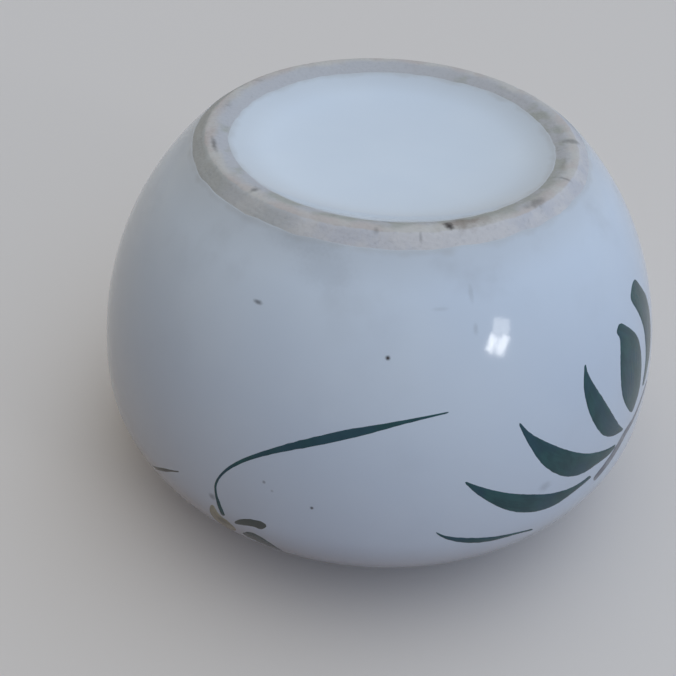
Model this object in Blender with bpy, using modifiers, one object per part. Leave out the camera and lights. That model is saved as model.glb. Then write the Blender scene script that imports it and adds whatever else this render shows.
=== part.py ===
"""Brush holder pot: a globular porcelain pot, standing mouth down with its foot ring up.

Every turned shape is drawn as a profile in the XZ plane, with heights measured from the widest
plane of the belly, and is spun about Z. The coats of glaze and the painted strokes are laid on
the same skin, so they follow the pot when one of its sizes changes.
"""
import math

import bmesh
import bpy
from mathutils import Vector

MM = 0.001

# Outside of the glazed pot
BELLY_DIAMETER = 110 * MM
BELLY_TO_FOOT = 46.9 * MM
BELLY_TO_MOUTH = 25 * MM
MOUTH_DIAMETER = 62 * MM

# Wall, lip and hollow
WALL = 5 * MM
BASE_THICKNESS = 6 * MM
HOLLOW_FULLNESS = 3.4

# Foot ring, left bare, and the shallow recess inside it
FOOT_DIAMETER = 66 * MM
FOOT_FLAT = 1.9 * MM
FOOT_INNER_BEVEL = 2.2 * MM
FOOT_INNER_DROP = 0.8 * MM
FOOT_OUTER_BEVEL = 2.6 * MM
FOOT_OUTER_DROP = 1.9 * MM
RECESS_DEPTH = 3.5 * MM

# Coats, strokes and the gap kept between fused faces
GLAZE = 0.4 * MM
ENAMEL = 0.25 * MM
CLEARANCE = 0.3 * MM

# Facets
TURN_STEPS = 48
FOOT_SIDE_STEPS = 8
MOUTH_SIDE_STEPS = 6
HOLLOW_STEPS = 9
LIP_STEPS = 5
RECESS_STEPS = 6
STROKE_STEPS = 16
STROKE_LANES = 2

# Sizes that follow
BELLY_RADIUS = BELLY_DIAMETER / 2
MOUTH_RADIUS = MOUTH_DIAMETER / 2
FOOT_RADIUS = FOOT_DIAMETER / 2
FOOT_FLAT_INNER_RADIUS = FOOT_RADIUS - FOOT_FLAT
RECESS_RADIUS = FOOT_FLAT_INNER_RADIUS - FOOT_INNER_BEVEL
RECESS_TOP = BELLY_TO_FOOT - FOOT_INNER_DROP
RECESS_FLOOR = BELLY_TO_FOOT - RECESS_DEPTH
RECESS_RISE = RECESS_TOP - RECESS_FLOOR
RECESS_EDGE_SLOPE = FOOT_INNER_DROP / FOOT_INNER_BEVEL
RECESS_FULLNESS = RECESS_EDGE_SLOPE * RECESS_RADIUS / RECESS_RISE
GLAZE_LINE_RADIUS = FOOT_RADIUS + FOOT_OUTER_BEVEL
GLAZE_LINE = BELLY_TO_FOOT - FOOT_OUTER_DROP
FOOT_SPAN = GLAZE_LINE / math.sqrt(1 - (GLAZE_LINE_RADIUS / BELLY_RADIUS) ** 2)
MOUTH_SPAN = BELLY_TO_MOUTH / math.sqrt(1 - (MOUTH_RADIUS / BELLY_RADIUS) ** 2)
HOLLOW_RADIUS = BELLY_RADIUS - WALL
HOLLOW_TOP = RECESS_FLOOR - BASE_THICKNESS
LIP_RADIUS = WALL / 2
CLAY_DEPTH = GLAZE + CLEARANCE

# Painted strokes: the two edges of each, left and right as the brush went from root to tip, in points
# (degrees round from the front, per cent of the way from the belly up to the foot, or down to the
# mouth where negative)
SPRAY_LEAVES = (
    {
        "left": ((33.2, -15), (27, -10.4), (20, -5.5), (13, 4.8)),
        "right": ((32.8, -12.4), (26.5, -6), (19.5, 0.5), (13, 6.5)),
    },
    {
        "left": ((46, 5), (41, 3.6), (34, 2.6), (26, 9.7), (17, 26.8)),
        "right": ((45.2, 7.6), (40, 8), (33, 12.6), (25, 19.7), (17.2, 28.3)),
    },
    {
        "left": ((51.6, 10.6), (47, 10.4), (40, 13), (32.4, 25.3), (27, 44.7)),
        "right": ((52.4, 12.9), (46.7, 17.6), (40, 25.5), (33, 35.5), (27.4, 46.2)),
    },
    {
        "left": ((55, 16.2), (50.5, 19.2), (46, 27.5), (42.9, 40.5), (43.1, 55.5)),
        "right": ((56.2, 15.8), (53.5, 22.2), (50.2, 32.3), (46.5, 44), (43.9, 55.9)),
    },
    {
        "left": ((57.6, 22), (54.2, 32), (53.3, 41), (54.5, 51), (54.2, 57), (55.6, 59.8)),
        "right": ((60.3, 17.5), (62.8, 24), (64.1, 33), (64, 42.5), (62, 52), (57.6, 58.9)),
    },
    {
        "left": ((64, 24.6), (66.7, 34), (67.2, 45), (65.2, 56), (64, 63), (66.6, 65)),
        "right": ((66, 22.8), (72.5, 31), (76, 42), (75, 53), (72, 61), (69, 64.4)),
    },
)
TWIG = {
    "left": ((70.6, 17.8), (66, 15.2), (61.7, 11.8), (56.4, 8.6), (51.8, 4), (47.4, 0.9)),
    "right": ((70, 20.6), (65.4, 18), (60.8, 14.6), (55.2, 11.4), (50.4, 6.8), (46.6, 3)),
}
GRASS_BLADE = {
    "left": ((-26, -12), (-27.1, 5), (-25.6, 17), (-20, 29.6), (-11.6, 40.5), (0, 49), (13.6, 53.5)),
    "right": ((-25, -10), (-26.4, 5.4), (-24.8, 17.2), (-19, 28.4), (-10.9, 37.6), (0.6, 46.4), (13.7, 52.6)),
}
GROUND_LEAF = {
    "left": ((-22.6, -26), (-20.6, -17.2), (-18.6, -16.5), (-16.4, -23.5), (-14.8, -33.5)),
    "right": ((-22.2, -30.5), (-20.3, -33), (-18.3, -35.5), (-16.3, -36.8), (-14.5, -37)),
}
GROUND_STROKE = {
    "left": ((-23.4, -11), (-21.7, -4.4), (-19.4, 0.6), (-16.8, 0.8)),
    "right": ((-23.2, -14.6), (-21.5, -11.6), (-18.8, -8.4), (-16.5, -3)),
}
BUD = {
    "left": ((-27.7, -3), (-27.3, -8), (-26.8, -13), (-25.9, -17), (-24.8, -20), (-23.9, -24)),
    "right": ((-28.4, -5), (-29, -16), (-28.8, -27), (-27.8, -36), (-26.2, -39), (-24.4, -33)),
}
SIDE_TWIG = {
    "left": ((-45, -12.5), (-42.4, -6.2), (-39.6, 0.6), (-35.7, 5.5)),
    "right": ((-44.5, -15.5), (-42, -9.4), (-39, -1.8), (-35.7, 4.2)),
}


def clear_scene():
    for item in list(bpy.data.objects):
        bpy.data.objects.remove(item, do_unlink=True)


def make_material(name, color, roughness):
    material = bpy.data.materials.new(name)
    material.use_nodes = True
    shader = material.node_tree.nodes["Principled BSDF"]
    shader.inputs["Base Color"].default_value = (*color, 1)
    shader.inputs["Roughness"].default_value = roughness
    shader.inputs["Metallic"].default_value = 0
    material.diffuse_color = (*color, 1)
    return material


def flat(radius, height):
    return Vector((radius, 0, height))


def ellipse_skin(span, start, end, steps):
    """Points and outward normals of the wall between two heights on one side of the belly."""
    first = math.asin(start / span)
    last = math.asin(end / span)
    skin = []
    for step in range(steps + 1):
        turn = first + (last - first) * step / steps
        point = flat(BELLY_RADIUS * math.cos(turn), span * math.sin(turn))
        normal = flat(math.cos(turn) / BELLY_RADIUS, math.sin(turn) / span).normalized()
        skin.append((point, normal))
    return skin


def arc_skin(center, radius, start, end, steps):
    """Points and normals of an arc about a center, between two angles in radians."""
    skin = []
    for step in range(steps + 1):
        turn = start + (end - start) * step / steps
        normal = flat(math.cos(turn), math.sin(turn))
        skin.append((center + normal * radius, normal))
    return skin


def outside_skin():
    """From the glaze line by the foot, over the belly, to the end of the shoulder."""
    foot_side = ellipse_skin(FOOT_SPAN, GLAZE_LINE, 0, FOOT_SIDE_STEPS)
    mouth_side = ellipse_skin(MOUTH_SPAN, 0, -BELLY_TO_MOUTH, MOUTH_SIDE_STEPS)
    return foot_side + mouth_side[1:]


def lip_center():
    end, normal = outside_skin()[-1]
    return end - normal * LIP_RADIUS


def shoulder_turn():
    """Angle of the wall's normal where the shoulder ends and the lip begins."""
    normal = outside_skin()[-1][1]
    return math.atan2(normal.z, normal.x)


def lip_land():
    """Bare land that the lip stands on, between the ends of the two coats."""
    down = -math.pi / 2
    half = shoulder_turn() - down - CLEARANCE / LIP_RADIUS
    outer, inner = arc_skin(lip_center(), LIP_RADIUS, down + half, down - half, 1)
    return [*inset([outer], CLAY_DEPTH), outer[0], inner[0], *inset([inner], CLAY_DEPTH)]


def lip_skin():
    """Glazed lip, from its land round the throat of the mouth to the inside of the wall."""
    start = -math.pi - shoulder_turn()
    return arc_skin(lip_center(), LIP_RADIUS, start, shoulder_turn() - math.pi, LIP_STEPS)


def hollow_skin():
    """Inside of the wall, from the lip past the belly to the middle of the hollow's end."""
    mouth_side = ellipse_skin(MOUTH_SPAN, -BELLY_TO_MOUTH, 0, MOUTH_SIDE_STEPS)
    skin = [(point - normal * WALL, -normal) for point, normal in mouth_side[1:]]
    power = 2 / HOLLOW_FULLNESS
    for step in range(1, HOLLOW_STEPS + 1):
        turn = math.pi / 2 * step / HOLLOW_STEPS
        across = max(math.cos(turn), 0) ** power
        up = math.sin(turn) ** power
        point = flat(HOLLOW_RADIUS * across, HOLLOW_TOP * up)
        slope_out = across ** (HOLLOW_FULLNESS - 1) / HOLLOW_RADIUS
        slope_up = up ** (HOLLOW_FULLNESS - 1) / HOLLOW_TOP
        skin.append((point, -flat(slope_out, slope_up).normalized()))
    skin[-1] = (flat(0, HOLLOW_TOP), flat(0, -1))
    return skin


def recess_skin():
    """Glazed recess, dished from its middle out to where it meets the ring's bevel without a corner."""
    skin = []
    for step in range(RECESS_STEPS + 1):
        share = math.sqrt(step / RECESS_STEPS)
        point = flat(RECESS_RADIUS * share, RECESS_FLOOR + RECESS_RISE * share ** RECESS_FULLNESS)
        slope = RECESS_EDGE_SLOPE * share ** (RECESS_FULLNESS - 1)
        skin.append((point, flat(-slope, 1).normalized()))
    return skin


def inset(skin, depth):
    return [point - normal * depth for point, normal in skin]


def turned(name, profile, material, closed=False):
    """Spin a profile about Z; a closed one is a loop that stays clear of the axis."""
    mesh = bpy.data.meshes.new(name)
    edges = [(index, index + 1) for index in range(len(profile) - 1)]
    if closed:
        edges.append((len(profile) - 1, 0))
    mesh.from_pydata(profile, edges, [])
    item = bpy.data.objects.new(name, mesh)
    screw = item.modifiers.new("Turn", "SCREW")
    screw.axis = "Z"
    screw.angle = math.tau
    screw.steps = TURN_STEPS
    screw.render_steps = TURN_STEPS
    screw.use_merge_vertices = True
    screw.merge_threshold = CLEARANCE / 10
    screw.use_smooth_shade = True
    item.data.materials.append(material)
    return item


def make_clay_body(material):
    recess = recess_skin()
    rim = [*inset(recess[-1:], CLAY_DEPTH), *inset(recess[-1:], 0)]
    past_rim = flat(FOOT_INNER_BEVEL, FOOT_INNER_DROP).normalized() * CLEARANCE
    ring = [point + past_rim for point in rim]
    ring += [flat(FOOT_FLAT_INNER_RADIUS, BELLY_TO_FOOT), flat(FOOT_RADIUS, BELLY_TO_FOOT)]
    foot = inset(recess[:-1], CLAY_DEPTH) + ring
    outside = inset(outside_skin(), CLAY_DEPTH)
    inside = inset(lip_skin() + hollow_skin(), CLAY_DEPTH)
    return turned("clay_body", foot + outside + lip_land() + inside, material)


def make_outer_glaze(material):
    skin = outside_skin()
    return turned("outer_glaze", inset(skin, 0) + inset(skin, GLAZE)[::-1], material, closed=True)


def make_inner_glaze(material):
    skin = lip_skin() + hollow_skin()
    return turned("inner_glaze", inset(skin, GLAZE)[::-1] + inset(skin, 0), material)


def make_base_glaze(material):
    skin = recess_skin()
    return turned("base_glaze", inset(skin, 0) + inset(skin, GLAZE)[::-1], material)


def skin_at(angle, height):
    """Point and normal of the glazed outside at an angle round from the front and a height."""
    span = FOOT_SPAN if height > 0 else MOUTH_SPAN
    radius = BELLY_RADIUS * math.sqrt(1 - (height / span) ** 2)
    slope = flat(radius / BELLY_RADIUS ** 2, height / span ** 2).normalized()
    out = Vector((math.sin(angle), -math.cos(angle), 0))
    up = Vector((0, 0, 1))
    return out * radius + up * height, out * slope.x + up * slope.z


def along_edge(edge, share):
    """Angle and height at a share of the way along a smooth curve through an edge's points."""
    points = []
    for degrees, percent in edge:
        side = BELLY_TO_FOOT if percent > 0 else BELLY_TO_MOUTH
        points.append(Vector((math.radians(degrees), percent / 100 * side)))
    points.insert(0, 2 * points[0] - points[1])
    points.append(2 * points[-1] - points[-2])
    place = share * (len(edge) - 1)
    leg = min(int(place), len(edge) - 2)
    t = place - leg
    a, b, c, d = points[leg:leg + 4]
    return b + t * ((c - a) / 2 + t * (a - 2.5 * b + 2 * c - d / 2 + t * (1.5 * (b - c) + (d - a) / 2)))


def painted_point(stroke, share, lane):
    """Point of a stroke: a share of its length along, and a lane from -1 at its right edge to 1."""
    left = along_edge(stroke["left"], share)
    right = along_edge(stroke["right"], share)
    point, normal = skin_at(*right.lerp(left, (lane + 1) / 2))
    return point + normal * CLEARANCE


def make_stroke(name, stroke, material):
    """A brush stroke of enamel, bent to the skin of the pot."""
    shape = bmesh.new()
    bmesh.ops.create_grid(shape, x_segments=STROKE_STEPS, y_segments=STROKE_LANES, size=1)
    for vertex in shape.verts:
        vertex.co = painted_point(stroke, (vertex.co.x + 1) / 2, vertex.co.y)
    mesh = bpy.data.meshes.new(name)
    shape.to_mesh(mesh)
    shape.free()
    item = bpy.data.objects.new(name, mesh)
    coat = item.modifiers.new("Coat", "SOLIDIFY")
    coat.thickness = ENAMEL
    coat.offset = 1
    item.data.materials.append(material)
    return item


def build():
    clear_scene()
    clay = make_material("bare_clay", (0.66, 0.6, 0.52), 0.75)
    glaze = make_material("white_glaze", (0.64, 0.7, 0.78), 0.12)
    green = make_material("green_enamel", (0.03, 0.07, 0.065), 0.3)
    olive = make_material("olive_enamel", (0.25, 0.27, 0.12), 0.3)
    grey = make_material("grey_enamel", (0.2, 0.21, 0.23), 0.3)

    parts = [make_clay_body(clay), make_outer_glaze(glaze), make_inner_glaze(glaze), make_base_glaze(glaze)]
    for number, leaf in enumerate(SPRAY_LEAVES, start=1):
        parts.append(make_stroke(f"spray_leaf_{number}", leaf, green))
    parts.append(make_stroke("spray_twig", TWIG, grey))
    parts.append(make_stroke("grass_blade", GRASS_BLADE, green))
    parts.append(make_stroke("ground_leaf", GROUND_LEAF, green))
    parts.append(make_stroke("ground_stroke", GROUND_STROKE, green))
    parts.append(make_stroke("bud", BUD, olive))
    parts.append(make_stroke("side_twig", SIDE_TWIG, green))

    collection = bpy.data.collections.new("brush_holder_pot")
    bpy.context.scene.collection.children.link(collection)
    axis = bpy.data.objects.new("pot_axis", None)
    axis.location.z = -min(point.z for point in lip_land())
    collection.objects.link(axis)
    for item in parts:
        collection.objects.link(item)
        item.parent = axis


build()
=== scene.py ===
"""Looks of the brush holder pot: bluish white glaze over a porcelain body that stands mouth down,
with a bare, worn foot ring at the top and leaves brushed in dark green enamel.

Lengths are in metres. Heights are measured from the widest plane of the belly. A place on the
wall is (degrees round from the front, per cent of the way from the belly up to the foot, or down
to the mouth where negative).
"""
import bisect
import math

import bpy
from mathutils import Matrix, Vector, noise


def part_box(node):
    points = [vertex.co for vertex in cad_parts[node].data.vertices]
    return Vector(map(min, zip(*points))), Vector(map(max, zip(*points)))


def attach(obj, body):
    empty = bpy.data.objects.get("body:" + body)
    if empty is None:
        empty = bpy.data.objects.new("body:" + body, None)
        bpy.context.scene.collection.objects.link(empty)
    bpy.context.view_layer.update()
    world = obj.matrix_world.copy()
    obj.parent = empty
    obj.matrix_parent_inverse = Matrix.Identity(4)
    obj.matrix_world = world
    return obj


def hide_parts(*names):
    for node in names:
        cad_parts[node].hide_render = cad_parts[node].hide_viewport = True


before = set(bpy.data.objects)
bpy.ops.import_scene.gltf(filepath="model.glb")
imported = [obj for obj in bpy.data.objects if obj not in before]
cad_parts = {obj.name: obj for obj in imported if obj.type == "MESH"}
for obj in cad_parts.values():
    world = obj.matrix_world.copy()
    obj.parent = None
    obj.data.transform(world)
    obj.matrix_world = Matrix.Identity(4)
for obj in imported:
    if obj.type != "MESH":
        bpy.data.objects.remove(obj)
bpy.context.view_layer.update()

MM = 0.001

# The pot, as the solids have it
BELLY_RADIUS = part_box("outer_glaze")[1].x
BELLY_TO_FOOT = 46.9 * MM
BELLY_TO_MOUTH = 25 * MM
BELLY_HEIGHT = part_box("clay_body")[1].z - BELLY_TO_FOOT
MOUTH_RADIUS = 31 * MM
WALL = 5 * MM
BASE_THICKNESS = 6 * MM
HOLLOW_FULLNESS = 3.4
FOOT_RADIUS = 33 * MM
FOOT_FLAT = 1.9 * MM
FOOT_INNER_BEVEL = 2.2 * MM
FOOT_INNER_DROP = 0.8 * MM
FOOT_OUTER_BEVEL = 2.6 * MM
FOOT_OUTER_DROP = 1.9 * MM
RECESS_DEPTH = 3.5 * MM
RING_ROUNDING = 0.7 * MM

# Sizes that follow
FOOT_FLAT_INNER_RADIUS = FOOT_RADIUS - FOOT_FLAT
RECESS_RADIUS = FOOT_FLAT_INNER_RADIUS - FOOT_INNER_BEVEL
RECESS_TOP = BELLY_TO_FOOT - FOOT_INNER_DROP
RECESS_FLOOR = BELLY_TO_FOOT - RECESS_DEPTH
RECESS_RISE = RECESS_TOP - RECESS_FLOOR
RECESS_FULLNESS = FOOT_INNER_DROP / FOOT_INNER_BEVEL * RECESS_RADIUS / RECESS_RISE
GLAZE_LINE_RADIUS = FOOT_RADIUS + FOOT_OUTER_BEVEL
GLAZE_LINE = BELLY_TO_FOOT - FOOT_OUTER_DROP
FOOT_SPAN = GLAZE_LINE / math.sqrt(1 - (GLAZE_LINE_RADIUS / BELLY_RADIUS) ** 2)
MOUTH_SPAN = BELLY_TO_MOUTH / math.sqrt(1 - (MOUTH_RADIUS / BELLY_RADIUS) ** 2)
FOOT_TURN = math.asin(GLAZE_LINE / FOOT_SPAN)
MOUTH_TURN = math.asin(-BELLY_TO_MOUTH / MOUTH_SPAN)
HOLLOW_RADIUS = BELLY_RADIUS - WALL
HOLLOW_TOP = RECESS_FLOOR - BASE_THICKNESS
LIP_RADIUS = WALL / 2
# Turn of the wall, a little below the glaze line, where the ring's rounding has ended
WALL_START_TURN = FOOT_TURN - 0.03

# Glaze and enamel
GLAZE_DEPTH = 0.3 * MM
GLAZE_ROOT = 0.03 * MM
GLAZE_ROLL = 0.4 * MM
GLAZE_BEAD = 0.02 * MM
GLAZE_SKIN = 0.01 * MM
GLAZE_SPREAD = 2.5 * MM
LINE_WANDER = 0.55 * MM
RECESS_LEAN = 0.8 * MM
RECESS_TURN = math.radians(15)
WALL_LEAN = 0.6 * MM
WALL_TURN = math.radians(-30)
# Wander of each glaze line round the pot: share, scale, level of the noise
WALL_WANDER = ((0.5, 1.7, 0), (0.5, 9, 3))
RECESS_WANDER = ((0.7, 2.3, 7), (0.4, 11, 9))
SKIN_WANDER = 0.06 * MM
WALL_SKIN_SCALE = 38
RECESS_SKIN_SCALE = 45
FILM = 0.05 * MM
FILM_ROOT = 0.08 * MM
BRUSH_WANDER = 0.09 * MM
BRUSH_WANDER_SCALE = 900
NARROWEST_HALF = 0.5 * MM
BLUNTEST_TIP = 0.15
STROKE_SHIFT = 40
BARE_LIP = 0.12
LIP_GLAZE_ROWS = 3
# Shares of the inside's line that end at the lip and at the belly
LIP_SHARE = 0.12
BELLY_SHARE = 0.4

# Bare clay, in millimetres deep: grains with their scales, chips of the ridge, and turning grooves
CLAY_GRAINS = ((0.03, 700), (0.02, 2400))
CHIP_DEPTH = 0.5
CHIP_SCALE = 330
CHIP_LIMIT = 0.3
CHIP_SHIFT = Vector((0, 0, 4))
RIDGE_BAND = 0.5 * MM
GROOVE_DEPTH = 0.007
GROOVE_TURN_PER_MM = 9
STAIN_DEPTH = 4 * MM

# Marks where a place has no glaze edge near it, and where the clay isn't on the ring
FAR_FROM_EDGE = 20.0
OFF_RING = -5.0

# Depths of the relief in the materials
GLAZE_RELIEF = 0.06 * MM
CLAY_RELIEF = 0.08 * MM
ENAMEL_RELIEF = 0.02 * MM

# Mesh density
RING_STEPS = 600
GLAZE_STEPS = 320
RING_SPACING = 0.2 * MM
FILM_ROWS = 72
FILM_LANES = 12
CORNER_POINTS = 9
RECESS_POINTS = 60
WALL_POINTS = 160
EDGE_ROWS = 20
OUTSIDE_ROWS = 80
OUTSIDE_BACK_ROWS = 40
FOOT_ROWS = 50
FOOT_BACK_ROWS = 25
INSIDE_ROWS = 90
CLAY_RECESS_ROWS = 20
CLAY_WALL_ROWS = 24
CLAY_INSIDE_ROWS = 40
AXIS_LIMIT = 0.01 * MM

# Colors, linear
GLAZE_WHITE = (0.58, 0.64, 0.725)
GLAZE_PALE = (0.625, 0.68, 0.75)
GLAZE_THIN = (0.47, 0.49, 0.52)
GRIME = (0.27, 0.27, 0.28)
CLAY_CREAM = (0.49, 0.465, 0.44)
CLAY_ROSE = (0.46, 0.41, 0.39)
CLAY_LILAC = (0.42, 0.415, 0.435)
# Painted shade: the darker green of the ring's inner slope on its right front
CLAY_GREEN_SHADE = (0.345, 0.347, 0.32)
CLAY_PALE = (0.54, 0.515, 0.515)
CLAY_MAUVE = (0.475, 0.465, 0.49)
# Painted shade: the olive of the ring's outer bevel on its left
CLAY_OLIVE_SHADE = (0.375, 0.375, 0.355)
STAIN_GREY = (0.10, 0.10, 0.10)
STAIN_BROWN = (0.15, 0.10, 0.07)
STAIN_BLACK = (0.02, 0.015, 0.015)
LEAF_DARK = (0.018, 0.063, 0.07)
LEAF_LIGHT = (0.026, 0.088, 0.091)
LEAF_BLUE = (0.026, 0.069, 0.102)
OLIVE_DARK = (0.21, 0.2, 0.135)
OLIVE_LIGHT = (0.42, 0.40, 0.29)
# Painted warm bounced light that greys the strokes low on the left
PAINTED_BOUNCE_TINT = (0.122, 0.118, 0.1)
LILAC_DARK = (0.15, 0.155, 0.18)
LILAC_LIGHT = (0.27, 0.28, 0.30)

# Side of the ring toward which its inner slope turns from lilac to a darker green, painted shade where the
# slope faces away from the light, and how much so per metre
SHADED_SLOPE_SIDE = (2.9, -4.1, 0)

# Painted strokes: their two edges, left and right as the brush went from root to tip
STROKES = {
    "spray_leaf_1": {
        "left": ((33.2, -15.5), (29.9, -11.8), (27.1, -10.4), (23.8, -9.5), (19.8, -5.9), (16.1, 0.2),
                 (14.2, 2.9), (13, 5.4)),
        "right": ((32.9, -12.6), (29.7, -8.8), (26.6, -6.2), (23.3, -3.4), (19.4, 0.4), (15.9, 2.7),
                  (14.1, 4.5), (12.9, 6.4)),
    },
    "spray_leaf_2": {
        "left": ((46.3, 5.2), (44, 4.6), (40.9, 3.6), (36.5, 2.2), (31.4, 4.1), (26, 9.7), (20.6, 19.1),
                 (17.1, 27.1)),
        "right": ((45.4, 7.6), (43.1, 7.3), (39.9, 8), (35.2, 10.8), (30.1, 15.1), (24.9, 19.7), (20.4, 24.3),
                  (17.2, 27.9)),
    },
    "spray_leaf_3": {
        "left": ((53.4, 10.2), (51, 9.6), (47.2, 10.4), (42.1, 11.4), (37.2, 16), (32.4, 25.3), (29, 36.7),
                 (27.1, 45.1)),
        "right": ((53.6, 12.2), (50.8, 14.1), (46.7, 17.6), (42.7, 21.8), (37.5, 28.8), (32.8, 35.7),
                  (29.6, 40.6), (27.4, 45.6)),
    },
    "spray_leaf_4": {
        "left": ((55.2, 15.9), (51.2, 18.7), (47.5, 23.7), (44.4, 32.7), (42.8, 41), (42.4, 48.4),
                 (43.3, 55.5)),
        "right": ((56.3, 15.5), (53.5, 22.2), (50.2, 32.3), (47.4, 41.3), (45.4, 47.5), (44.2, 52.1),
                  (43.8, 55.5)),
    },
    "spray_leaf_5": {
        "left": ((57.3, 22.4), (54.5, 31), (53.5, 38.5), (53.7, 45.5), (54.6, 51.6), (55.2, 55.2),
                 (54.5, 58.3), (55.8, 59.8)),
        "right": ((60.5, 16.9), (62.2, 20.3), (63.9, 24.8), (64.7, 31), (65, 37.1), (64.7, 43.3),
                  (63.5, 48.6), (61, 54), (58, 59)),
    },
    "spray_leaf_6": {
        "left": ((65, 23.6), (66.1, 28.2), (67.1, 33.7), (67.5, 40.2), (67.3, 47), (65.9, 54), (64, 60),
                 (63.4, 62.8), (65, 64.8), (67.6, 65.8)),
        "right": ((66.4, 21.8), (68.8, 24.8), (71.6, 29.2), (73.9, 34.4), (75, 40.4), (75.5, 46.4),
                  (74.8, 52.6), (73.2, 57.6), (71.9, 61.4), (70.8, 63.9)),
    },
    "spray_twig": {
        "left": ((70.6, 17.8), (66, 15.2), (61.7, 11.4), (58.2, 9.6), (55.4, 6.2), (53, 3.8), (50.4, 1.8),
                 (47.6, 0.2)),
        "right": ((70, 20.6), (65.4, 18), (60.8, 15), (56.6, 14.2), (53.9, 11.2), (51.6, 8.8), (49.2, 6.4),
                  (46.6, 4)),
    },
    "grass_blade": {
        "left": ((-26, -12.1), (-26.7, -1.3), (-27.1, 4.8), (-27.1, 9.9), (-26.1, 15.3), (-24.4, 20.8),
                 (-21.4, 27.3), (-17.1, 33.9), (-11.6, 40.5), (-4, 46.9), (4, 50.6), (9.7, 52.5),
                 (14.2, 53.6)),
        "right": ((-25, -9.9), (-25.7, 0.1), (-26.5, 5.3), (-26.5, 10.3), (-25.5, 15.3), (-23.7, 20.5),
                  (-20.7, 26.4), (-16.2, 32.5), (-10.9, 37.6), (-3.3, 43.6), (4.4, 48.9), (9.7, 51.5),
                  (14.2, 53)),
    },
    "ground_leaf": {
        "left": ((-22.6, -26), (-20.6, -17.2), (-18.6, -16.5), (-16.4, -23.5), (-14.8, -33.5)),
        "right": ((-22.2, -30.5), (-20.3, -33), (-18.3, -35.5), (-16.3, -36.8), (-14.5, -37)),
    },
    "ground_stroke": {
        "left": ((-23.3, -10.9), (-21.7, -4.3), (-19.8, 0.1), (-18, 1), (-16.7, 0.7)),
        "right": ((-23.3, -14.7), (-21.5, -11.6), (-19.5, -8.1), (-17.9, -7.9), (-16.5, -2.9)),
    },
    "bud": {
        "left": ((-27.4, -3), (-27, -7.5), (-26.2, -12), (-25, -13.4), (-23.9, -14.6), (-22.8, -18.6)),
        "right": ((-28.4, -5), (-29, -16), (-28.8, -27), (-27.8, -36), (-26.2, -39), (-24.4, -33)),
    },
    "side_twig": {
        "left": ((-45.3, -14.1), (-42.4, -6.2), (-40.2, -0.2), (-38, 2.4), (-35.7, 5.2)),
        "right": ((-44.3, -14.8), (-42, -8.9), (-40, -3.6), (-37.8, 1.5), (-35.7, 4.4)),
    },
}

# How much painted warm bounced light greys the enamel of the strokes low on the left
PAINTED_BOUNCE_SHARES = {"ground_leaf": 0.5, "ground_stroke": 0.7, "side_twig": 0.85}

# Stains on the foot ring: degrees round, radius, length round the ring, width across it, color, strength
RING_STAINS = (
    (-72.8, 31.7 * MM, 5 * MM, 1 * MM, STAIN_GREY, 0.65),
    (-41.3, 31.8 * MM, 1.1 * MM, 2 * MM, STAIN_GREY, 0.6),
    (-2, 33 * MM, 0.9 * MM, 1.2 * MM, STAIN_GREY, 0.4),
    (22, 31.6 * MM, 5 * MM, 3.4 * MM, STAIN_BROWN, 0.55),
    (29, 31.6 * MM, 3 * MM, 3 * MM, STAIN_BROWN, 0.3),
    (18, 32 * MM, 1.5 * MM, 1.9 * MM, STAIN_BLACK, 0.95),
    (47.5, 32.1 * MM, 4.5 * MM, 1.7 * MM, STAIN_GREY, 0.5),
    (66, 32 * MM, 0.7 * MM, 2.4 * MM, STAIN_GREY, 0.5),
    (91.5, 32.2 * MM, 1.7 * MM, 3 * MM, STAIN_GREY, 0.55),
    (9.6, 33.8 * MM, 0.6 * MM, 2 * MM, STAIN_GREY, 0.4),
)
# Specks and smears on the glaze: degrees round, per cent up, width, height, strength
GLAZE_SPECKS = (
    (2.6, 69.5, 0.75 * MM, 0.75 * MM, 1.0),
    (-25.1, 77.4, 1.5 * MM, 0.6 * MM, 0.65),
    (-17.3, 20.3, 0.6 * MM, 0.6 * MM, 0.5),
    (-15.7, 17.5, 0.5 * MM, 0.5 * MM, 0.3),
    (-8.5, 14.5, 0.6 * MM, 0.6 * MM, 0.85),
    (-27.7, 2.7, 1.4 * MM, 1.4 * MM, 0.45),
    (33.3, 15.5, 2.4 * MM, 1.8 * MM, 0.2),
    (20, 85.2, 0.8 * MM, 2.6 * MM, 0.13),
    (20, 76.2, 0.8 * MM, 1.8 * MM, 0.14),
    (13.1, 82.2, 2.4 * MM, 0.5 * MM, 0.1),
    (-12.5, 90, 9 * MM, 5 * MM, 0.1),
    (-20, 95, 12 * MM, 3 * MM, 0.12),
)


def spaced(start, end, count):
    """Evenly spaced values from a start to an end."""
    return [start + (end - start) * (index / (count - 1)) for index in range(count)]


def mix(a, b, share):
    """Value or vector a share of the way from a to b."""
    return a + (b - a) * share


def ease(value):
    """Smooth step from 0 to 1."""
    value = min(max(value, 0), 1)
    return value * value * (3 - 2 * value)


def on_circle(angle, scale, level):
    """Smooth wander between about -1 and 1 that closes round the pot."""
    return noise.noise((scale * math.cos(angle), scale * math.sin(angle), level))


def line_wander(angle, waves):
    """Wander of a glaze line, summed over its waves."""
    return LINE_WANDER * sum(share * on_circle(angle, scale, level) for share, scale, level in waves)


def at(angle, radius, height):
    """Point of the model at an angle round from the front."""
    return Vector((radius * math.sin(angle), -radius * math.cos(angle), height + BELLY_HEIGHT))


def wall(turn):
    """Point (radius, height) and outward normal of the glazed outside, by its turn from the belly."""
    span = FOOT_SPAN if turn > 0 else MOUTH_SPAN
    point = Vector((BELLY_RADIUS * math.cos(turn), span * math.sin(turn)))
    normal = Vector((math.cos(turn) / BELLY_RADIUS, math.sin(turn) / span)).normalized()
    return point, normal


def skin_wander(angle, height):
    """Slight unevenness of the thrown wall under the glaze."""
    return SKIN_WANDER * noise.noise(at(angle, BELLY_RADIUS, height) * WALL_SKIN_SCALE)


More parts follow.
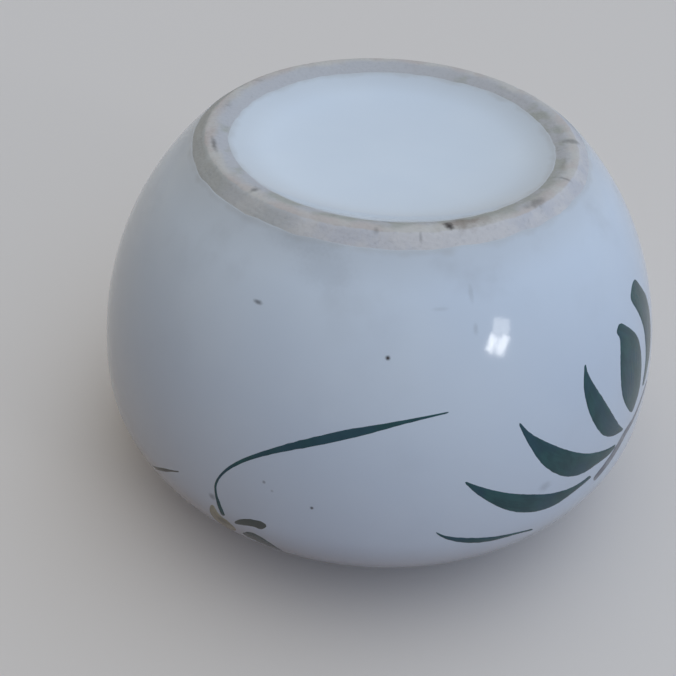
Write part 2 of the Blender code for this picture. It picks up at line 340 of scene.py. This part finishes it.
class Line:
    """A line of points through a section of the pot, with places found by the distance along it."""

    def __init__(self, points):
        self.points = points
        self.along = [0]
        headings = []
        for start, end in zip(points, points[1:]):
            self.along.append(self.along[-1] + (end - start).length)
            headings.append((end - start).normalized())
        self.normals = []
        for before, after in zip(headings[:1] + headings, headings + headings[-1:]):
            heading = (before + after).normalized()
            self.normals.append(Vector((-heading.y, heading.x)))

    def place(self, distance):
        """Point and outward normal at a distance along the line."""
        end = min(max(bisect.bisect(self.along, distance), 1), len(self.points) - 1)
        start = end - 1
        share = (distance - self.along[start]) / (self.along[end] - self.along[start])
        normal = mix(self.normals[start], self.normals[end], share).normalized()
        return mix(self.points[start], self.points[end], share), normal

    def nearest(self, corner):
        """Distance along the line of its point nearest to a corner."""
        index = min(range(len(self.points)), key=lambda number: (self.points[number] - corner).length)
        return self.along[index]


def rounded(corners, cut, spacing):
    """Points along a line of corners, with the corners inside it rounded off."""
    path = [corners[0]]
    for before, corner, after in zip(corners, corners[1:], corners[2:]):
        start = corner + (before - corner).normalized() * cut
        end = corner + (after - corner).normalized() * cut
        for share in spaced(0, 1, CORNER_POINTS):
            path.append(mix(mix(start, corner, share), mix(corner, end, share), share))
    path.append(corners[-1])
    points = []
    for start, end in zip(path, path[1:]):
        count = max(round((end - start).length / spacing), 1)
        points += [mix(start, end, index / count) for index in range(count)]
    return points + [path[-1]]


RING_CORNERS = (
    Vector((RECESS_RADIUS, RECESS_TOP)),
    Vector((FOOT_FLAT_INNER_RADIUS, BELLY_TO_FOOT)),
    Vector((FOOT_RADIUS, BELLY_TO_FOOT)),
    Vector((GLAZE_LINE_RADIUS, GLAZE_LINE)),
)


def outside_line():
    """The skin from the middle of the recess, over the foot ring and the belly, to the lip."""
    points = []
    for share in spaced(0, 1, RECESS_POINTS):
        height = RECESS_FLOOR + RECESS_RISE * share ** RECESS_FULLNESS
        points.append(Vector((RECESS_RADIUS * share, height)))
    corners = [*RING_CORNERS, wall(WALL_START_TURN)[0]]
    points += rounded(corners, RING_ROUNDING, RING_SPACING)[1:]
    points += [wall(turn)[0] for turn in spaced(WALL_START_TURN, MOUTH_TURN, WALL_POINTS)[1:]]
    return Line(points)


OUTSIDE = outside_line()
RECESS_EDGE = OUTSIDE.nearest(RING_CORNERS[0])
WALL_EDGE = OUTSIDE.nearest(RING_CORNERS[-1])


def clay_depth(distance):
    """Depth of the clay under the skin, which is none where it is bare."""
    under = max(RECESS_EDGE - distance, distance - WALL_EDGE)
    return GLAZE_DEPTH * ease(under / GLAZE_SPREAD)


def glaze_rise(distance):
    """Rise of a coat of glaze over the skin, at a distance in from its edge."""
    over = math.sqrt(1 - (1 - min(distance / GLAZE_ROLL, 1)) ** 2)
    bead = GLAZE_BEAD * math.exp(-(max(distance - GLAZE_ROLL, 0) / GLAZE_SPREAD * 2) ** 2)
    return mix(-GLAZE_ROOT, GLAZE_SKIN + bead, over)


def from_edge():
    """Distances in from the edge of a coat, close together where it rolls over."""
    return [GLAZE_SPREAD * 2 * (index / (EDGE_ROWS - 1)) ** 2 for index in range(EDGE_ROWS)]


def finish_piece(mesh, name, material, node):
    """Put a piece in the scene, on the pot, in place of its solid."""
    piece = bpy.data.objects.new(name, mesh)
    bpy.context.scene.collection.objects.link(piece)
    mesh.materials.append(material)
    mesh.shade_smooth()
    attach(piece, "root")
    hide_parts(node)


def add_marks(mesh, name, values):
    """Give every point of a mesh a value that its material reads."""
    marks = mesh.attributes.new(name, "FLOAT", "POINT")
    marks.data.foreach_set("value", values)


def turned(name, place, rows, steps, closed):
    """Mesh of rows spun about the axis. place gives (radius, height, mark) by row and angle. A
    closed mesh joins its last row to its first, and an open one ends on the axis at both ends."""
    points = []
    marks = []
    rings = []
    for row in range(rows):
        ring = []
        for step in range(steps):
            angle = math.tau * step / steps
            radius, height, mark = place(row, angle)
            if radius < AXIS_LIMIT and ring:
                break
            ring.append(len(points))
            points.append(at(angle, radius, height))
            marks.append(mark)
        rings.append(ring)
    faces = []
    pairs = list(zip(rings, rings[1:]))
    if closed:
        pairs.append((rings[-1], rings[0]))
    for one, two in pairs:
        for step in range(steps):
            after = (step + 1) % steps
            corners = [
                one[step % len(one)],
                two[step % len(two)],
                two[after % len(two)],
                one[after % len(one)],
            ]
            faces.append(list(dict.fromkeys(corners)))
    mesh = bpy.data.meshes.new(name)
    mesh.from_pydata(points, [], faces)
    add_marks(mesh, "mark", marks)
    return mesh


def make_outer_glaze(material):
    """Coat on the outside, from its wandering line under the foot ring down to the lip."""
    edge = from_edge()
    spread = spaced(0, 1, OUTSIDE_ROWS)[1:]
    back = spaced(1, 0, OUTSIDE_BACK_ROWS)[:-1]
    end = OUTSIDE.along[-1]

    def place(row, angle):
        start = WALL_EDGE + line_wander(angle, WALL_WANDER)
        start -= WALL_LEAN * (1 - math.cos(angle - WALL_TURN))
        if row < len(edge) + len(spread):
            if row < len(edge):
                along = start + edge[row]
            else:
                along = mix(start + edge[-1], end, spread[row - len(edge)])
            rise = glaze_rise(along - start) - GLAZE_DEPTH * ease(1 - (end - along) / GLAZE_ROLL)
        else:
            along = mix(start, end, back[row - len(edge) - len(spread)])
            rise = -clay_depth(along) - GLAZE_ROOT
        point, normal = OUTSIDE.place(along)
        point += normal * (rise + skin_wander(angle, point.y))
        return point.x, point.y, (along - start) / MM

    mesh = turned("outside_glaze", place, len(edge) + len(spread) + len(back), GLAZE_STEPS, True)
    finish_piece(mesh, "outside_glaze", material, "outer_glaze")


def make_foot_glaze(material):
    """Coat in the recess of the foot, out to its wandering line on the ring's inner slope."""
    edge = from_edge()[::-1]
    spread = spaced(0, 1, FOOT_ROWS)[:-1]
    back = spaced(1, 0, FOOT_BACK_ROWS)[1:]

    def place(row, angle):
        line = RECESS_EDGE + line_wander(angle, RECESS_WANDER)
        line += RECESS_LEAN * math.cos(angle - RECESS_TURN)
        if row < len(spread) + len(edge):
            if row < len(spread):
                along = (line - edge[0]) * spread[row]
            else:
                along = line - edge[row - len(spread)]
            rise = glaze_rise(line - along)
        else:
            along = line * back[row - len(spread) - len(edge)]
            rise = -clay_depth(along) - GLAZE_ROOT
        point, normal = OUTSIDE.place(along)
        point += normal * (rise + SKIN_WANDER * noise.noise(at(angle, point.x, 0) * RECESS_SKIN_SCALE))
        if along == 0:
            point.x = 0
        return point.x, point.y, (line - along) / MM

    mesh = turned("foot_glaze", place, len(spread) + len(edge) + len(back), GLAZE_STEPS, False)
    finish_piece(mesh, "foot_glaze", material, "base_glaze")


def lip_center():
    """Center of the lip's round, which the outside of the wall runs into."""
    end, normal = wall(MOUTH_TURN)
    return end - normal * LIP_RADIUS


def lip_point(turn):
    """Point and normal of the lip's round at a turn."""
    normal = Vector((math.cos(turn), math.sin(turn)))
    return lip_center() + normal * LIP_RADIUS, normal


def lip_turns():
    """Turns of the lip where the wall's outside ends, and where its inside begins."""
    normal = wall(MOUTH_TURN)[1]
    start = math.atan2(normal.y, normal.x)
    return start, start - math.pi


def land_turns():
    """Turns of the lip at the outer and the inner end of its bare land."""
    down = -math.pi / 2
    half = lip_turns()[0] - down - BARE_LIP
    return down + half, down - half


def inside_skin(share):
    """Point and normal of the inside, from the lip's land past the belly to the hollow's end."""
    if share < LIP_SHARE:
        return lip_point(mix(land_turns()[1], lip_turns()[1], share / LIP_SHARE))
    if share < BELLY_SHARE:
        point, normal = wall(mix(MOUTH_TURN, 0, (share - LIP_SHARE) / (BELLY_SHARE - LIP_SHARE)))
        return point - normal * WALL, -normal
    turn = math.pi / 2 * (share - BELLY_SHARE) / (1 - BELLY_SHARE)
    power = 2 / HOLLOW_FULLNESS
    across = max(math.cos(turn), 0) ** power
    up = math.sin(turn) ** power
    normal_across = across ** (HOLLOW_FULLNESS - 1) / HOLLOW_RADIUS
    normal_up = up ** (HOLLOW_FULLNESS - 1) / HOLLOW_TOP
    point = Vector((HOLLOW_RADIUS * across, HOLLOW_TOP * up))
    return point, -Vector((normal_across, normal_up)).normalized()


def make_inner_glaze(material):
    """Coat on the inside, from the lip's land to the hollow's end."""
    skin = [inside_skin(share) for share in spaced(0, 1, INSIDE_ROWS)]
    back = skin[::-2]

    def place(row, angle):
        if row < len(back):
            point, normal = back[row]
            rise = -GLAZE_DEPTH - GLAZE_ROOT
        else:
            index = row - len(back)
            point, normal = skin[index]
            rise = -(GLAZE_DEPTH + GLAZE_ROOT) * ease(1 - index / LIP_GLAZE_ROWS)
        point = point + normal * rise
        return max(point.x, 0), point.y, FAR_FROM_EDGE

    mesh = turned("inside_glaze", place, len(back) + len(skin), GLAZE_STEPS, False)
    finish_piece(mesh, "inside_glaze", material, "inner_glaze")


def make_clay(material):
    """The clay body: under the glaze, bare and worn on the foot ring, and bare on the lip's land."""
    bare = range(round((WALL_EDGE - RECESS_EDGE + 2 * GLAZE_SPREAD) / RING_SPACING) + 1)
    distances = spaced(0, RECESS_EDGE - GLAZE_SPREAD - RING_SPACING, CLAY_RECESS_ROWS)
    distances += [RECESS_EDGE - GLAZE_SPREAD + step * RING_SPACING for step in bare]
    distances += spaced(distances[-1] + 1 * MM, OUTSIDE.along[-1], CLAY_WALL_ROWS)
    beyond = [lip_point(turn)[0] for turn in land_turns()]
    for share in spaced(0, 1, CLAY_INSIDE_ROWS)[2:]:
        point, normal = inside_skin(share)
        beyond.append(point - normal * GLAZE_DEPTH)

    def place(row, angle):
        if row >= len(distances):
            point = beyond[row - len(distances)]
            return max(point.x, 0), point.y, OFF_RING
        along = distances[row]
        point, normal = OUTSIDE.place(along)
        share = (along - RECESS_EDGE) / (WALL_EDGE - RECESS_EDGE)
        point = point - normal * clay_depth(along)
        if row == 0:
            point.x = 0
        spot = at(angle, point.x, point.y)
        grain = sum(depth * noise.noise(spot * scale) for depth, scale in CLAY_GRAINS)
        chip = CHIP_DEPTH * max(noise.noise(spot * CHIP_SCALE + CHIP_SHIFT) - CHIP_LIMIT, 0)
        groove = GROOVE_DEPTH * math.sin(point.x / MM * GROOVE_TURN_PER_MM)
        crest = math.exp(-((point.y - BELLY_TO_FOOT) / RIDGE_BAND) ** 2)
        bareness = 1 - clay_depth(along) / GLAZE_DEPTH
        rise = (min(grain + groove, 0) - chip * crest) * bareness
        return point.x + normal.x * rise * MM, point.y + normal.y * rise * MM, share

    mesh = turned("clay_pot", place, len(distances) + len(beyond), RING_STEPS, False)
    finish_piece(mesh, "clay_pot", material, "clay_body")


def along_edge(points, share):
    """Angle and height at a share of the way along a smooth curve through an edge's points."""
    spots = []
    for degrees, percent in points:
        side = BELLY_TO_FOOT if percent > 0 else BELLY_TO_MOUTH
        spots.append(Vector((math.radians(degrees), percent / 100 * side)))
    spots.insert(0, 2 * spots[0] - spots[1])
    spots.append(2 * spots[-1] - spots[-2])
    place = share * (len(points) - 1)
    leg = min(int(place), len(points) - 2)
    t = place - leg
    a, b, c, d = spots[leg:leg + 4]
    return b + t * ((c - a) / 2 + t * (a - 2.5 * b + 2 * c - d / 2 + t * (1.5 * (b - c) + (d - a) / 2)))


def painted(angle, height, lift):
    """Point on the glazed outside at an angle and a height, lifted off it."""
    span = FOOT_SPAN if height > 0 else MOUTH_SPAN
    point, normal = wall(math.asin(height / span))
    point += normal * (lift + skin_wander(angle, height))
    return at(angle, point.x, point.y)


def make_stroke(name, material, index):
    """A thin film of enamel that swells out of the glaze between the two edges of a stroke."""
    rows = []
    length = 0
    for row in range(FILM_ROWS + 1):
        left = along_edge(STROKES[name]["left"], row / FILM_ROWS)
        right = along_edge(STROKES[name]["right"], row / FILM_ROWS)
        middle = painted(*mix(left, right, 0.5), 0)
        if rows:
            length += (middle - rows[-1]["middle"]).length
        width = (painted(*left, 0) - painted(*right, 0)).length
        rows.append({"left": left, "right": right, "middle": middle, "width": width, "along": length})
    lanes = spaced(-1, 1, FILM_LANES + 1)
    points = []
    marks = {"along": [], "across": [], "rim": []}
    for row in rows:
        half = row["width"] / 2
        ending = min(min(row["along"], length - row["along"]) / half, 1)
        round_off = max(math.sqrt(1 - (1 - ending) ** 2), BLUNTEST_TIP)
        spread = []
        for side in (-1, 1):
            wander = noise.noise((row["along"] * BRUSH_WANDER_SCALE, side * 9, index * 5.0))
            spread.append(round_off + BRUSH_WANDER * wander / max(half, NARROWEST_HALF))
        for lane, lift in [(lane, 1) for lane in lanes] + [(lane, 0) for lane in lanes[::-1]]:
            reach = lane * (spread[1] if lane > 0 else spread[0])
            spot = mix(row["right"], row["left"], (reach + 1) / 2)
            crown = math.sqrt(max(1 - lane ** 4, 0)) * round_off
            rise = mix(-FILM_ROOT / 3, FILM, crown) if lift else -FILM_ROOT
            points.append(painted(spot.x, spot.y, rise))
            marks["along"].append(row["along"] / MM + index * STROKE_SHIFT)
            marks["across"].append(reach * half / MM)
            marks["rim"].append(lift * (1 - abs(lane)) * half * round_off / MM)
    loop = 2 * len(lanes)
    faces = []
    for row in range(FILM_ROWS):
        for step in range(loop):
            after = (step + 1) % loop
            here = row * loop
            faces.append((here + step, here + loop + step, here + loop + after, here + after))
    for here in (0, FILM_ROWS * loop):
        for step in range(FILM_LANES):
            corners = (here + step, here + step + 1, here + loop - 2 - step, here + loop - 1 - step)
            faces.append(corners if here == 0 else corners[::-1])
    mesh = bpy.data.meshes.new(name)
    mesh.from_pydata(points, [], faces)
    marks["painted_bounce"] = [PAINTED_BOUNCE_SHARES.get(name, 0.0)] * len(points)
    for mark, values in marks.items():
        add_marks(mesh, mark, values)
    finish_piece(mesh, name + "_paint", material, name)


class Shading:
    """The nodes of one material. An input is a socket, a plain value, or None to leave it."""

    def __init__(self, name):
        self.material = bpy.data.materials.new(name)
        self.material.use_nodes = True
        self.tree = self.material.node_tree
        self.shader = self.tree.nodes["Principled BSDF"]
        self.place = self.node("TexCoord").outputs["Object"]

    def feed(self, socket, value):
        """Link a socket into another, or set a plain value on it."""
        if isinstance(value, bpy.types.NodeSocket):
            self.tree.links.new(value, socket)
        elif value is not None:
            socket.default_value = value

    def node(self, kind, *values, **settings):
        """New node with its settings, and its inputs in their order."""
        item = self.tree.nodes.new("ShaderNode" + kind)
        for name, value in settings.items():
            setattr(item, name, value)
        for socket, value in zip(item.inputs, values):
            self.feed(socket, value)
        return item

    def math(self, operation, *values):
        return self.node("Math", *values, operation=operation).outputs[0]

    def ramp(self, value, start, end, low=0.0, high=1.0):
        """Smooth step from low to high while the value goes from start to end."""
        step = self.node("MapRange", value, start, end, low, high, interpolation_type="SMOOTHSTEP")
        return step.outputs[0]

    def blend(self, share, first, second):
        """Color that goes from the first to the second by a share."""
        item = self.node("Mix", data_type="RGBA")
        self.feed(item.inputs[0], share)
        for socket, value in zip(item.inputs[6:8], (first, second)):
            self.feed(socket, (*value, 1) if isinstance(value, tuple) else value)
        return item.outputs[2]

    def noise(self, scale, detail=2.0, shift=0.0, place=None):
        """Noise about 0.5 at a place, shifted so that two noises differ."""
        moved = self.node("VectorMath", place or self.place, (shift, shift, shift), operation="ADD")
        return self.node("TexNoise", moved.outputs[0], None, scale, detail).outputs[0]

    def mark(self, name):
        return self.node("Attribute", attribute_name=name).outputs["Fac"]

    def blot(self, center, sizes, turn, ragged):
        """Soft-edged mask of a blot of three sizes at a point, with a ragged outline."""
        local = self.node("Mapping", self.place, center, (0, 0, turn), sizes, vector_type="TEXTURE")
        far = self.node("VectorMath", local.outputs[0], operation="LENGTH").outputs["Value"]
        return self.ramp(self.math("ADD", far, ragged), 0.1, 0.75, 1, 0)

    def paint(self, **inputs):
        """Feed the shader's inputs by their names."""
        for name, value in inputs.items():
            self.feed(self.shader.inputs[name.replace("_", " ")], value)

    def relief(self, height, depth):
        """Fine relief of a depth on the shader's normal."""
        bump = self.node("Bump", 1.0, depth)
        self.feed(bump.inputs["Height"], height)
        self.feed(self.shader.inputs["Normal"], bump.outputs[0])


def glaze_material():
    """Bluish white glaze: faintly mottled, thin and grey by its edges, with pinholes and specks."""
    look = Shading("white_glaze")
    color = look.blend(look.ramp(look.noise(26, 3), 0.35, 0.7), GLAZE_WHITE, GLAZE_PALE)
    uneven = look.math("MULTIPLY_ADD", look.noise(260, 4), 2.4, look.mark("mark"))
    color = look.blend(look.ramp(look.mark("mark"), 0, 8, 0.5, 0), color, GLAZE_THIN)
    color = look.blend(look.ramp(uneven, 1.1, 2.6, 0.9, 0), color, GLAZE_THIN)
    height = look.node("SeparateXYZ", look.place).outputs[2]
    flat = look.node("VectorMath", look.place, (1, 1, 0), operation="MULTIPLY").outputs[0]
    radius = look.node("VectorMath", flat, operation="LENGTH").outputs["Value"]
    low = BELLY_HEIGHT + 0.7 * BELLY_TO_FOOT
    high = BELLY_HEIGHT + 0.93 * BELLY_TO_FOOT
    outside = look.ramp(radius, RECESS_RADIUS, GLAZE_LINE_RADIUS)
    under_foot = look.math("MULTIPLY", look.ramp(height, low, high, 0.04, 0.25), outside)
    smudge = look.math("MULTIPLY", look.ramp(look.noise(75, 4, 0.2), 0.5, 0.75), under_foot)
    color = look.blend(smudge, color, GRIME)
    ragged = look.math("MULTIPLY_ADD", look.noise(1800, 2), 0.3, -0.15)
    for degrees, percent, width, tall, strength in GLAZE_SPECKS:
        turn = math.radians(degrees)
        point = painted(turn, percent / 100 * BELLY_TO_FOOT, 0)
        speck = look.blot(point, (width, max(width, tall), tall), turn, ragged)
        color = look.blend(look.math("MULTIPLY", speck, strength), color, STAIN_BLACK)
    cells = look.node("TexVoronoi", look.place, None, 110.0)
    rare = look.ramp(look.node("SeparateColor", cells.outputs["Color"]).outputs[0], 0.86, 0.88)
    pinhole = look.math("MULTIPLY", look.ramp(cells.outputs["Distance"], 0.012, 0.03, 1, 0), rare)
    color = look.blend(look.math("MULTIPLY", pinhole, 0.5), color, GRIME)
    rough = look.ramp(look.noise(90, 4), 0.35, 0.8, 0.06, 0.15)
    look.paint(Base_Color=color, Roughness=rough, IOR=1.5)
    ripple = look.math("MULTIPLY_ADD", look.noise(300, 1), 0.3, look.noise(75, 1))
    look.relief(look.math("SUBTRACT", ripple, look.math("MULTIPLY", pinhole, 0.5)), GLAZE_RELIEF)
    return look.material


def clay_material():
    """Bare fired clay: cream and rose on the ridge, lilac on the slope inside it and darker green toward the
    right front as painted shade, worn pale or mauve on the slope outside it and olive on its left as painted
    shade, and stained by handling."""
    look = Shading("bare_clay")
    across = look.mark("mark")
    uneven = look.math("MULTIPLY_ADD", look.noise(170, 4), 0.6, look.math("ADD", across, -0.3))
    slope = look.ramp(uneven, 0.22, 0.5, 0.9, 0)
    jagged = look.math("MULTIPLY_ADD", look.noise(420, 4), 0.12, look.math("ADD", across, -0.06))
    bevel = look.ramp(jagged, 0.56, 0.61)
    patches = look.noise(200, 4, 0.3)
    color = look.blend(look.ramp(patches, 0.4, 0.6), CLAY_CREAM, CLAY_ROSE)
    # Painted shade: the inner slope turns darker and green toward the right front, where it faces away from
    # the light, with a green tint
    toward = look.node("VectorMath", look.place, SHADED_SLOPE_SIDE, operation="DOT_PRODUCT").outputs["Value"]
    green_in_shade = look.ramp(look.math("ADD", toward, look.noise(210, 6, 0.7)), 0.48, 0.66)
    color = look.blend(slope, color, look.blend(green_in_shade, CLAY_LILAC, CLAY_GREEN_SHADE))
    over = look.node("SeparateXYZ", look.place).outputs[0]
    # Painted shade: the outer bevel is olive and darker on its left, the side facing away from the light;
    # pale and mauve wear elsewhere
    shaded_left = look.math("MULTIPLY_ADD", look.noise(110, 4, 0.5), 0.03, over)
    bevel_wear_and_shade = look.blend(look.ramp(patches, 0.4, 0.62), CLAY_PALE, CLAY_MAUVE)
    bevel_wear_and_shade = look.blend(look.ramp(shaded_left, -0.016, 0.008, 0.8, 0), bevel_wear_and_shade, CLAY_OLIVE_SHADE)
    color = look.blend(bevel, color, bevel_wear_and_shade)
    grain = look.noise(1500, 5)
    color = look.blend(look.ramp(grain, 0.5, 0.8, 0, 0.22), color, GRIME)
    ragged = look.math("MULTIPLY_ADD", look.noise(800, 4), 0.8, -0.4)
    for degrees, distance, length, width, stain, strength in RING_STAINS:
        turn = math.radians(degrees)
        mask = look.blot(at(turn, distance, BELLY_TO_FOOT), (length, width, STAIN_DEPTH), turn, ragged)
        color = look.blend(look.math("MULTIPLY", mask, strength), color, stain)
    color = look.blend(look.ramp(look.noise(420, 3), 0.64, 0.78, 0, 0.3), color, STAIN_GREY)
    look.paint(Base_Color=color, Roughness=look.ramp(grain, 0.3, 0.7, 0.55, 0.85))
    look.relief(look.math("ADD", grain, look.noise(500, 3)), CLAY_RELIEF)
    return look.material


def enamel_material(name, dark, light, tint):
    """Enamel laid on with a loaded brush: streaked along the stroke, thin at its edges, and greyed brown as
    painted warm bounced light on the strokes that are marked so."""
    look = Shading(name)
    along = look.mark("along")
    across = look.mark("across")
    stretched = look.math("MULTIPLY", along, 0.16)
    squeezed = look.math("MULTIPLY", across, 2.4)
    fibers = look.node("CombineXYZ", stretched, squeezed).outputs[0]
    streak = look.noise(1.0, 4, 0, fibers)
    plain = look.node("CombineXYZ", along, across).outputs[0]
    tone = look.math("MULTIPLY_ADD", streak, 0.3, look.math("MULTIPLY", look.noise(0.35, 2, 0, plain), 0.7))
    color = look.blend(look.ramp(tone, 0.36, 0.66), dark, light)
    color = look.blend(look.ramp(look.noise(0.16, 1, 5, plain), 0.45, 0.65, 0, 0.6), color, tint)
    # Painted light: the strokes low on the left are greyed brown for warm bounced light
    color = look.blend(look.mark("painted_bounce"), color, PAINTED_BOUNCE_TINT)
    thinned = look.math("MULTIPLY_ADD", streak, 0.22, look.mark("rim"))
    color = look.blend(look.ramp(thinned, 0.06, 0.2, 0.8, 0), color, GLAZE_WHITE)
    look.paint(Base_Color=color, Roughness=look.ramp(streak, 0.3, 0.7, 0.12, 0.24), IOR=1.33)
    look.relief(streak, ENAMEL_RELIEF)
    return look.material


# The camera, by its place about the middle of the belly
CAMERA_DISTANCE = 194.1 * MM
CAMERA_RISE = math.radians(38.81)
CAMERA_YAW = math.radians(2.32)
CAMERA_PITCH = math.radians(-0.37)
CAMERA_ROLL = math.radians(-4.43)
LENS = 48.99
SENSOR_WIDTH = 36
NEAREST_SEEN = 10 * MM


def make_camera():
    """The camera of the photograph."""
    data = bpy.data.cameras.new("camera")
    data.lens = LENS
    data.sensor_width = SENSOR_WIDTH
    data.clip_start = NEAREST_SEEN
    camera = bpy.data.objects.new("camera", data)
    bpy.context.scene.collection.objects.link(camera)
    away = Vector((0, -math.cos(CAMERA_RISE), math.sin(CAMERA_RISE)))
    right = Vector((1, 0, 0))
    up = away.cross(right)
    aim = Matrix((right, up, away)).transposed()
    aim = Matrix.Rotation(CAMERA_YAW, 3, up) @ aim
    aim = Matrix.Rotation(CAMERA_PITCH, 3, aim.col[0]) @ aim
    aim = Matrix.Rotation(CAMERA_ROLL, 3, -aim.col[2]) @ aim
    place = away * CAMERA_DISTANCE + Vector((0, 0, BELLY_HEIGHT))
    camera.matrix_world = Matrix.Translation(place) @ aim.to_4x4()
    bpy.context.scene.camera = camera


# Light: a soft room, bright overhead and to the right and dimmer elsewhere, and a small window
OVERHEAD_COLOR = (1.08, 1.06, 0.92)
SIDE_COLOR = (0.53, 0.70, 0.95)
FRONT_COLOR = (0.29, 0.37, 0.53)
BACK_COLOR = (0.20, 0.22, 0.25)
LEFT_COLOR = (0.20, 0.19, 0.18)
# Each light of the room, with the ramps it fades by: axis, start, end
ROOM_LIGHTS = (
    (OVERHEAD_COLOR, ((2, 0.6, 1),)),
    (SIDE_COLOR, ((0, -0.2, 0.4), (2, 0, 0.3))),
    (FRONT_COLOR, ((1, -0.1, -0.8), (0, -0.7, 0.2), (2, 0, 0.3))),
    (BACK_COLOR, ((1, 0.1, 0.8), (2, 0, 0.3))),
    (LEFT_COLOR, ((0, -0.1, -0.7), (2, 0.2, 0.6))),
)
# The background as it is seen and mirrored, and what the floor throws back: a browner, weaker light
BACKDROP = (0.54, 0.53, 0.515)
FLOOR_PALE = (0.64, 0.585, 0.55)
FLOOR_BOUNCE = (0.18, 0.08, 0.025)
FLOOR_ROUGHNESS = 0.7
FLOOR_HALF = 3.0
# The window: where the wall mirrors it, its distance, its radiance and its roll
WINDOW_PLACE = (24.3, 71)
WINDOW_DISTANCE = 1.2
WINDOW_RADIANCE = 13
WINDOW_ROLL = math.radians(-28)
# Panes: place across, place up, width, height, lean, share of the radiance
WINDOW_PANES = (
    (-0.046, 0, 0.074, 0.135, math.radians(-18), 1),
    (0.046, 0, 0.074, 0.135, math.radians(-18), 1),
    (0.02, 0.125, 0.135, 0.1, 0, 0.35),
)


def background_rays(tree):
    """Socket that is 1 for rays that show the background: seen, mirrored or through glass."""
    rays = tree.nodes.new("ShaderNodeLightPath").outputs
    shown = rays["Is Camera Ray"]
    for kind in ("Is Glossy Ray", "Is Transmission Ray"):
        either = tree.nodes.new("ShaderNodeMath")
        either.operation = "MAXIMUM"
        tree.links.new(shown, either.inputs[0])
        tree.links.new(rays[kind], either.inputs[1])
        shown = either.outputs[0]
    return shown


def light_room():
    """World of soft lights that fade by direction, with a plain backdrop where it shows."""
    world = bpy.data.worlds.new("room")
    world.use_nodes = True
    bpy.context.scene.world = world
    tree = world.node_tree
    axes = tree.nodes.new("ShaderNodeSeparateXYZ")
    tree.links.new(tree.nodes.new("ShaderNodeTexCoord").outputs["Generated"], axes.inputs[0])
    room = None
    for color, ramps in ROOM_LIGHTS:
        strength = None
        for axis, start, end in ramps:
            level = tree.nodes.new("ShaderNodeMapRange")
            level.interpolation_type = "SMOOTHSTEP"
            level.inputs["From Min"].default_value = start
            level.inputs["From Max"].default_value = end
            tree.links.new(axes.outputs[axis], level.inputs["Value"])
            if strength:
                tree.links.new(strength, level.inputs["To Max"])
            strength = level.outputs[0]
        light = tree.nodes.new("ShaderNodeBackground")
        light.inputs["Color"].default_value = (*color, 1)
        tree.links.new(strength, light.inputs["Strength"])
        both = tree.nodes.new("ShaderNodeAddShader")
        if room:
            tree.links.new(room, both.inputs[0])
        tree.links.new(light.outputs[0], both.inputs[1])
        room = both.outputs[0]
    backdrop = tree.nodes.new("ShaderNodeBackground")
    backdrop.inputs["Color"].default_value = (*BACKDROP, 1)
    seen = tree.nodes.new("ShaderNodeMixShader")
    tree.links.new(background_rays(tree), seen.inputs[0])
    tree.links.new(room, seen.inputs[1])
    tree.links.new(backdrop.outputs[0], seen.inputs[2])
    tree.links.new(seen.outputs[0], tree.nodes["World Output"].inputs["Surface"])


def add_window():
    """A small window of panes, where the glaze mirrors it toward the camera."""
    angle = math.radians(WINDOW_PLACE[0])
    height = WINDOW_PLACE[1] / 100 * BELLY_TO_FOOT
    spot = painted(angle, height, 0)
    normal = wall(math.asin(height / FOOT_SPAN))[1]
    out = at(angle, normal.x, normal.y - BELLY_HEIGHT)
    view = (bpy.context.scene.camera.matrix_world.translation - spot).normalized()
    ray = 2 * view.dot(out) * out - view
    aim = ray.to_track_quat("Z", "Y").to_matrix() @ Matrix.Rotation(WINDOW_ROLL, 3, "Z")
    for across, rise, width, tall, lean, share in WINDOW_PANES:
        data = bpy.data.lights.new("window_pane", "AREA")
        data.shape = "RECTANGLE"
        data.size = width
        data.size_y = tall
        data.energy = WINDOW_RADIANCE * share * math.pi * width * tall
        pane = bpy.data.objects.new("window_pane", data)
        bpy.context.scene.collection.objects.link(pane)
        place = spot + ray * WINDOW_DISTANCE + aim @ Vector((across, rise, 0))
        pane.matrix_world = Matrix.Translation(place) @ (aim @ Matrix.Rotation(lean, 3, "Z")).to_4x4()


def make_floor():
    """Plain pale floor, as it is seen and mirrored."""
    look = Shading("floor")
    color = look.blend(background_rays(look.tree), FLOOR_BOUNCE, FLOOR_PALE)
    look.paint(Base_Color=color, Roughness=FLOOR_ROUGHNESS)
    mesh = bpy.data.meshes.new("floor")
    sides = ((-1, -1), (1, -1), (1, 1), (-1, 1))
    corners = [(FLOOR_HALF * across, FLOOR_HALF * along, 0) for across, along in sides]
    mesh.from_pydata(corners, [], [(0, 1, 2, 3)])
    floor = bpy.data.objects.new("floor", mesh)
    bpy.context.scene.collection.objects.link(floor)
    mesh.materials.append(look.material)


def build():
    """The whole scene: camera, light and floor, then the pot's pieces from the clay outward."""
    bpy.context.scene.view_settings.view_transform = "Standard"
    make_camera()
    light_room()
    add_window()
    make_floor()
    glaze = glaze_material()
    make_clay(clay_material())
    make_outer_glaze(glaze)
    make_inner_glaze(glaze)
    make_foot_glaze(glaze)
    green = enamel_material("green_enamel", LEAF_DARK, LEAF_LIGHT, LEAF_BLUE)
    olive = enamel_material("olive_enamel", OLIVE_DARK, OLIVE_LIGHT, OLIVE_LIGHT)
    lilac = enamel_material("grey_enamel", LILAC_DARK, LILAC_LIGHT, LILAC_DARK)
    for index, name in enumerate(STROKES):
        if name == "spray_twig":
            make_stroke(name, lilac, index)
        elif name == "bud":
            make_stroke(name, olive, index)
        else:
            make_stroke(name, green, index)


build()
